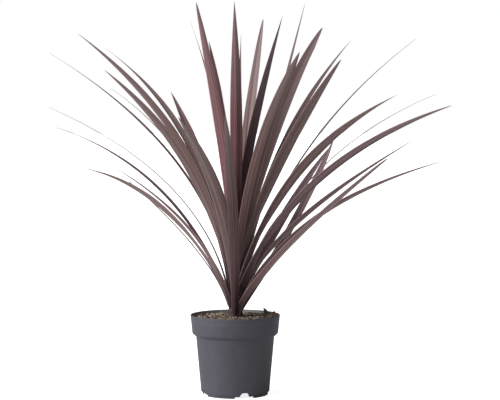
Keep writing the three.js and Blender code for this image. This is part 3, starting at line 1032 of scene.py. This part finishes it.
def blade_line(tree, given, along):
    """The quadratic curve through root, knee and tip: its point, and the blade's side and up there."""
    first = {0: along, 4: given["Root"], 5: given["Knee"]}
    first_leg = add(tree, MIX, first, data_type="VECTOR").outputs[1]
    second = {0: along, 4: given["Knee"], 5: given["Tip"]}
    second_leg = add(tree, MIX, second, data_type="VECTOR").outputs[1]
    middle = add(tree, MIX, {0: along, 4: first_leg, 5: second_leg}, data_type="VECTOR").outputs[1]
    step = add(tree, VECTOR, (second_leg, first_leg), operation="SUBTRACT")
    forward = add(tree, VECTOR, (step,), operation="NORMALIZE")
    crossed = add(tree, VECTOR, (forward, given["Side"]), operation="CROSS_PRODUCT")
    level_up = add(tree, VECTOR, (crossed,), operation="NORMALIZE")
    level_side = add(tree, VECTOR, (level_up, forward), operation="CROSS_PRODUCT")
    rolling = add(
        tree, RANGE, (along, given["Roll From"], given["Widest At"], 0, 1), interpolation_type="SMOOTHSTEP"
    )
    rolled = add(tree, MATH, (given["Roll"], rolling), operation="MULTIPLY")
    side = add(
        tree, "ShaderNodeVectorRotate", {"Vector": level_side, "Axis": forward, "Angle": rolled},
        rotation_type="AXIS_ANGLE",
    )
    up = add(tree, VECTOR, (forward, side), operation="CROSS_PRODUCT")
    return middle, side, up


def blade_half_width(tree, given, read):
    """Half a blade's width: it swells from the neck to where it is widest and falls off to the point."""
    rise = add(tree, RANGE, (read.along, 0, given["Widest At"], 0, math.pi / 2))
    bulge = add(tree, MATH, (rise,), operation="SINE")
    swell = add(tree, MATH, (bulge, given["Neck Ease"]), operation="POWER")
    broad = add(tree, RANGE, (swell, 0, 1, given["Neck Width"], given["Width"]))
    turn = add(tree, RANGE, (read.along, given["Widest At"], 1, 0, math.pi / 2))
    slope = add(tree, MATH, (turn,), operation="COSINE")
    # The point's cosine can fall a hair below 0, where a power fails
    safe = add(tree, MATH, (slope, 1e-6), operation="MAXIMUM")
    fall = add(tree, MATH, (safe, given["Taper"]), operation="POWER")
    full = add(tree, MATH, (broad, fall), operation="MULTIPLY")
    width = add(tree, MATH, (full, given["Tip Width"]), operation="MAXIMUM")
    half = add(tree, MATH, (width, 0.5), operation="MULTIPLY")
    return add(tree, MATH, (half, read.opened), operation="MULTIPLY")


def blade_relief(tree, given, read, thin):
    """Soft ribs along both faces, a keel under the middle and margins that wave up and down."""
    beats = add(tree, MATH, (read.from_rib, given["Ribs"]), operation="MULTIPLY")
    turn = add(tree, MATH, (beats, math.tau), operation="MULTIPLY")
    beat = add(tree, MATH, (turn,), operation="COSINE")
    thinned = add(tree, MATH, (beat, thin), operation="MULTIPLY")
    ribs = add(tree, MATH, (thinned, given["Rib Height"]), operation="MULTIPLY")

    depth = add(tree, MATH, (given["Keel"], -1), operation="MULTIPLY")
    keel = add(tree, RANGE, (read.from_rib, 0, KEEL_REACH, depth, 0), interpolation_type="SMOOTHSTEP")
    lower = add(tree, MATH, (read.face, 0), operation="LESS_THAN")
    below = add(tree, MATH, (keel, lower), operation="MULTIPLY")

    place = add(tree, JOIN, (
        add(tree, MATH, (read.along, WAVES), operation="MULTIPLY"),
        add(tree, MATH, (read.across,), operation="SIGN"),
        add(tree, MATH, (given["Seed"], WAVE_STEP), operation="MULTIPLY"),
    ))
    ripple = add(tree, NOISE, {"Vector": place, "Scale": 1, "Detail": 1})
    swing = add(tree, MATH, (ripple, 2, -1), operation="MULTIPLY_ADD")
    swung = add(tree, MATH, (swing, given["Wave"]), operation="MULTIPLY")
    margin = add(tree, MATH, (read.from_rib, WAVE_POWER), operation="POWER")
    relief = add(tree, MATH, (ribs, below), operation="ADD")
    return add(tree, MATH, (swung, margin, relief), operation="MULTIPLY_ADD")


def blade_section(tree, given, read, half):
    """How far out and how far up a point lies: two halves folded up from a rib, thin at the margins."""
    settling = (read.along, 0, given["Settled At"])
    folds = (*settling, given["Neck Fold"], given["Blade Fold"])
    fold = add(tree, RANGE, folds, interpolation_type="SMOOTHSTEP")
    thicknesses = (*settling, given["Neck Thickness"], given["Blade Thickness"])
    thick = add(tree, RANGE, thicknesses, interpolation_type="SMOOTHSTEP")
    steep = add(tree, MATH, (fold,), operation="SINE")
    lean = add(tree, MATH, (half, steep), operation="MULTIPLY")
    curve = add(tree, MATH, (read.from_rib, LIFT_POWER), operation="POWER")
    edge = add(tree, MATH, (read.from_rib, THIN_POWER), operation="POWER")
    inner = add(tree, MATH, (1, edge), operation="SUBTRACT")
    thin = add(tree, MATH, (inner,), operation="SQRT")
    body = add(tree, MATH, (thick, thin), operation="MULTIPLY")
    half_face = add(tree, MATH, (read.face, 0.5), operation="MULTIPLY")
    skin = add(tree, MATH, (body, half_face), operation="MULTIPLY")
    raised = add(tree, MATH, (lean, curve, skin), operation="MULTIPLY_ADD")
    share = add(tree, MATH, (half, FULL_RELIEF * MM), operation="DIVIDE")
    broadness = add(tree, MATH, (share, 1), operation="MINIMUM")
    relief = blade_relief(tree, given, read, thin)
    lift = add(tree, MATH, (relief, broadness, raised), operation="MULTIPLY_ADD")
    reach = add(tree, MATH, (read.across, half), operation="MULTIPLY")
    flat = add(tree, MATH, (fold,), operation="COSINE")
    out = add(tree, MATH, (reach, flat), operation="MULTIPLY")
    up = add(tree, MATH, (lift, read.opened), operation="MULTIPLY")
    return out, up


# The inputs of a blade: its own sizes first, then those that all leaves share
BLADE_INPUTS = (
    ("Geometry", "Geometry", None),
    ("Root", "Vector", (0.0, 0.0, 0.0)),
    ("Knee", "Vector", (0.0, 0.0, 0.2)),
    ("Tip", "Vector", (0.2, 0.0, 0.4)),
    ("Side", "Vector", (0.0, 1.0, 0.0)),
    ("Width", "Float", 20 * MM),
    ("Neck Width", "Float", 20 * MM),
    ("Taper", "Float", 1.0),
    ("Roll", "Float", 0.0),
    ("Rib Height", "Float", 0.2 * MM),
    ("Wave", "Float", 0.8 * MM),
    ("Steps", "Int", 90),
    ("Half Divisions", "Int", 12),
    ("Seed", "Float", 0.0),
    ("Material", "Material", None),
    ("Tip Width", "Float", TIP_WIDTH * MM),
    ("Widest At", "Float", 0.55),
    ("Neck Ease", "Float", 1.2),
    ("Roll From", "Float", 0.05),
    ("Neck Fold", "Float", math.radians(NECK_FOLD)),
    ("Blade Fold", "Float", math.radians(BLADE_FOLD)),
    ("Settled At", "Float", 0.35),
    ("Neck Thickness", "Float", NECK_THICKNESS * MM),
    ("Blade Thickness", "Float", BLADE_THICKNESS * MM),
    ("Ribs", "Float", 3.0),
    ("Keel", "Float", 0.35 * MM),
)


def blade_tree():
    """Sweeps a sword-shaped blade along a quadratic curve, from a clasping neck to a fine point."""
    tree = new_tree("Sword leaf blade", BLADE_INPUTS)
    given = add(tree, "NodeGroupInput").outputs
    sheet, read = blade_sheet(tree, given)
    middle, side, up = blade_line(tree, given, read.along)
    half = blade_half_width(tree, given, read)
    reach, lift = blade_section(tree, given, read, half)

    sideways = add(tree, VECTOR, {0: side, "Scale": reach}, operation="SCALE")
    upwards = add(tree, VECTOR, {0: up, "Scale": lift}, operation="SCALE")
    offset = add(tree, VECTOR, (sideways, upwards), operation="ADD")
    position = add(tree, VECTOR, (middle, offset), operation="ADD")
    marks = add(tree, JOIN, (read.across, read.along, given["Seed"]))
    marked = add(
        tree, "GeometryNodeStoreNamedAttribute", {"Geometry": sheet, "Name": "blade", "Value": marks},
        data_type="FLOAT_VECTOR", domain="POINT",
    )
    swept = add(tree, "GeometryNodeSetPosition", {"Geometry": marked, "Position": position})
    closed = add(tree, "GeometryNodeMergeByDistance", {"Geometry": swept, "Distance": WELD * MM})
    soft = add(tree, "GeometryNodeSetShadeSmooth", {"Geometry": closed, "Shade Smooth": True})
    solid = add(tree, "GeometryNodeRealizeInstances", (soft,))
    final = add(tree, "GeometryNodeSetMaterial", {"Geometry": solid, "Material": given["Material"]})
    add(tree, "NodeGroupOutput", (final,))
    return tree


def middle_line(leaf):
    """Root, knee and tip of a leaf's middle line and the level direction across it, in metres."""
    cane = CANES[leaf.cane]
    tip = Vector(leaf.tip)
    azimuth = math.atan2(tip.y - cane.y, tip.x - cane.x)
    out = Vector((math.cos(azimuth), math.sin(azimuth), 0))
    side = Vector((-out.y, out.x, 0))
    reach = ROOT_REACH * cane_radius(cane, leaf.root) + ROOT_SET
    root = Vector((cane.x, cane.y, SOIL_TOP + leaf.root)) + out * reach
    chord = tip - root
    up = chord.normalized().cross(side)
    knee = root + chord * leaf.knee + (up * leaf.bow + side * leaf.sway) * chord.length
    return (root - out * CLASP) * MM, knee * MM, tip * MM, side


def make_leaves():
    """Every leaf, grown from one tree with its own row of sizes."""
    tree = blade_tree()
    settings = bpy.context.scene.cordyline_leaves
    materials = {name: leaf_material(name, code) for name, code in TONES.items()}
    for i, leaf in enumerate(LEAVES):
        root, knee, tip, side = middle_line(leaf)
        number = f"{i + 1:02d}"
        piece = grown(f"blade_{number}", tree, {
            "Root": root,
            "Knee": knee,
            "Tip": tip,
            "Side": side,
            "Width": leaf.width * MM,
            "Neck Width": min(NECK_WIDTH, SLIM_NECK + NECK_SHARE * leaf.width) * MM,
            "Taper": float(leaf.taper),
            "Roll": math.radians(leaf.roll),
            "Rib Height": settings.rib_height,
            "Wave": settings.wave,
            "Steps": settings.steps,
            "Half Divisions": settings.half_divisions,
            "Seed": i * SEED_STEP,
            "Material": materials[leaf.tone],
        })
        dress(piece, "leaf", f"leaf_{number}")


# The stage


def make_world(scene, fill):
    """A world that looks white and lights the object evenly."""
    world = bpy.data.worlds.new("White studio")
    scene.world = world
    world.use_nodes = True
    tree = world.node_tree
    tree.nodes.clear()
    lit = add(tree, "ShaderNodeBackground", {"Color": (1, 1, 1, 1), "Strength": fill})
    seen = add(tree, "ShaderNodeBackground", {"Color": (1, 1, 1, 1), "Strength": 1.0})
    ray = add(tree, "ShaderNodeLightPath").outputs["Is Camera Ray"]
    both = add(tree, "ShaderNodeMixShader", (ray, lit, seen))
    add(tree, "ShaderNodeOutputWorld", {"Surface": both})


def make_floor(glow):
    """A plain pale floor, which shows white without throwing more light on the pot."""
    shape = bmesh.new()
    bmesh.ops.create_grid(shape, x_segments=1, y_segments=1, size=FLOOR_SIZE)
    floor = from_bmesh("floor", shape)
    material, tree = new_material("Pale paper")
    shown = add(tree, "ShaderNodeLightPath").outputs["Is Camera Ray"]
    finish_material(tree, {
        "Base Color": (FLOOR_GREY, FLOOR_GREY, FLOOR_GREY, 1),
        "Roughness": 0.9,
        "Emission Color": (1, 1, 1, 1),
        "Emission Strength": add(tree, MATH, (shown, glow), operation="MULTIPLY"),
    })
    set_material(floor, material)


def make_key(scene, strength, size):
    """The soft key light."""
    sun = bpy.data.lights.new("key", "SUN")
    sun.energy = strength
    sun.angle = size
    lamp = bpy.data.objects.new("key", sun)
    scene.collection.objects.link(lamp)
    lamp.rotation_mode = "QUATERNION"
    lamp.rotation_quaternion = Vector(KEY_FROM).to_track_quat("Z", "Y")


def make_camera(scene):
    """The camera of the picture."""
    lens = bpy.data.cameras.new("camera")
    lens.sensor_width = SENSOR_WIDTH
    lens.lens = FOCAL_PIXELS / IMAGE_WIDTH * SENSOR_WIDTH
    lens.clip_start = 0.1
    lens.clip_end = 200
    camera = bpy.data.objects.new("camera", lens)
    scene.collection.objects.link(camera)
    camera.location = Vector(CAMERA_PLACE) * MM
    camera.rotation_euler = (math.radians(90 - CAMERA_PITCH), 0, 0)
    scene.camera = camera


def make_stage():
    """A plain white floor, even white light, a soft key light from the left and the picture's camera."""
    scene = bpy.context.scene
    settings = scene.cordyline_stage
    make_world(scene, settings.fill)
    make_floor(settings.floor_glow)
    make_key(scene, settings.key, settings.key_size)
    make_camera(scene)
    scene.view_settings.view_transform = "Standard"


# The add-on


class PotSettings(bpy.types.PropertyGroup):
    colour: FloatVectorProperty(
        name="Pot colour", description="Colour of the moulded plastic",
        default=srgb(POT_GREY)[:3], min=0, max=1, size=3, subtype="COLOR",
    )


class SoilSettings(bpy.types.PropertyGroup):
    bits_share: FloatProperty(
        name="Share of bits", description="How thickly the bits lie, 1 as in the picture",
        default=1, min=0, max=2, subtype="FACTOR",
    )
    bits_reach: FloatProperty(
        name="Reach of bits", description="How far out the bits lie, as a share of the soil's radius",
        default=0.985, min=0.5, max=1, subtype="FACTOR",
    )


class LeafSettings(bpy.types.PropertyGroup):
    rib_height: FloatProperty(
        name="Rib height", description="Height of the soft ribs along a blade",
        default=0.2 * MM, min=0, max=0.5 * MM, precision=5, subtype="DISTANCE", unit="LENGTH",
    )
    wave: FloatProperty(
        name="Margin wave", description="How far the margins wave up and down",
        default=0.8 * MM, min=0, max=3 * MM, precision=5, subtype="DISTANCE", unit="LENGTH",
    )
    steps: IntProperty(name="Steps", description="Rows of faces along a blade", default=90, min=10, max=200)
    half_divisions: IntProperty(
        name="Divisions", description="Columns of faces across each half of a blade",
        default=12, min=3, max=24,
    )


class StageSettings(bpy.types.PropertyGroup):
    fill: FloatProperty(
        name="Fill light", description="Strength of the even light", default=0.24, min=0, max=3
    )
    key: FloatProperty(
        name="Key light", description="Strength of the light from the left", default=4.3, min=0, max=10
    )
    key_size: FloatProperty(
        name="Key size", description="Softness of the key light",
        default=math.radians(70), min=0, max=math.pi, subtype="ANGLE", unit="ROTATION",
    )
    floor_glow: FloatProperty(
        name="Floor glow", description="How much the floor lights up its own shadows",
        default=0.84, min=0, max=1,
    )


class CORDYLINE_OT_pot(bpy.types.Operator):
    """Build the moulded pot with its rim band, foot notches and drain holes"""
    bl_idname = "cordyline.pot"
    bl_label = "Pot"

    def execute(self, context):
        make_pot()
        return {"FINISHED"}


class CORDYLINE_OT_soil(bpy.types.Operator):
    """Build the potting mix and the two bark slabs at the rim"""
    bl_idname = "cordyline.soil"
    bl_label = "Soil"

    def execute(self, context):
        make_soil()
        make_chips()
        return {"FINISHED"}


class CORDYLINE_OT_bits(bpy.types.Operator):
    """Scatter crumbs, bark bits and fibres over the potting mix"""
    bl_idname = "cordyline.bits"
    bl_label = "Soil bits"

    def execute(self, context):
        make_bits()
        return {"FINISHED"}


class CORDYLINE_OT_canes(bpy.types.Operator):
    """Build the main cane and the side shoot"""
    bl_idname = "cordyline.canes"
    bl_label = "Canes"

    def execute(self, context):
        make_canes()
        return {"FINISHED"}


class CORDYLINE_OT_leaves(bpy.types.Operator):
    """Sweep every leaf blade along its middle line"""
    bl_idname = "cordyline.leaves"
    bl_label = "Leaves"

    def execute(self, context):
        make_leaves()
        return {"FINISHED"}


class CORDYLINE_OT_stage(bpy.types.Operator):
    """Set up the white floor, the soft light and the camera"""
    bl_idname = "cordyline.stage"
    bl_label = "Stage"

    def execute(self, context):
        make_stage()
        return {"FINISHED"}


class CORDYLINE_PT_panel(bpy.types.Panel):
    bl_label = "Potted cordyline"
    bl_idname = "CORDYLINE_PT_panel"
    bl_space_type = "VIEW_3D"
    bl_region_type = "UI"
    bl_category = "Cordyline"

    def draw(self, context):
        for operator in OPERATORS:
            self.layout.operator(operator.bl_idname)
        for group in SETTINGS:
            column = self.layout.column()
            settings = getattr(context.scene, group)
            for name in settings.bl_rna.properties.keys():
                if name not in ("rna_type", "name"):
                    column.prop(settings, name)


SETTINGS = {
    "cordyline_pot": PotSettings,
    "cordyline_soil": SoilSettings,
    "cordyline_leaves": LeafSettings,
    "cordyline_stage": StageSettings,
}
OPERATORS = (
    CORDYLINE_OT_stage,
    CORDYLINE_OT_pot,
    CORDYLINE_OT_soil,
    CORDYLINE_OT_bits,
    CORDYLINE_OT_canes,
    CORDYLINE_OT_leaves,
)


def register():
    for group, kind in SETTINGS.items():
        bpy.utils.register_class(kind)
        setattr(bpy.types.Scene, group, PointerProperty(type=kind))
    for operator in OPERATORS:
        bpy.utils.register_class(operator)
    bpy.utils.register_class(CORDYLINE_PT_panel)


def unregister():
    bpy.utils.unregister_class(CORDYLINE_PT_panel)
    for operator in reversed(OPERATORS):
        bpy.utils.unregister_class(operator)
    for group, kind in reversed(SETTINGS.items()):
        delattr(bpy.types.Scene, group)
        bpy.utils.unregister_class(kind)


def main():
    register()
    bpy.ops.cordyline.stage()
    bpy.ops.cordyline.pot()
    bpy.ops.cordyline.soil()
    bpy.ops.cordyline.bits()
    bpy.ops.cordyline.canes()
    bpy.ops.cordyline.leaves()


if __name__ == "__main__":
    main()
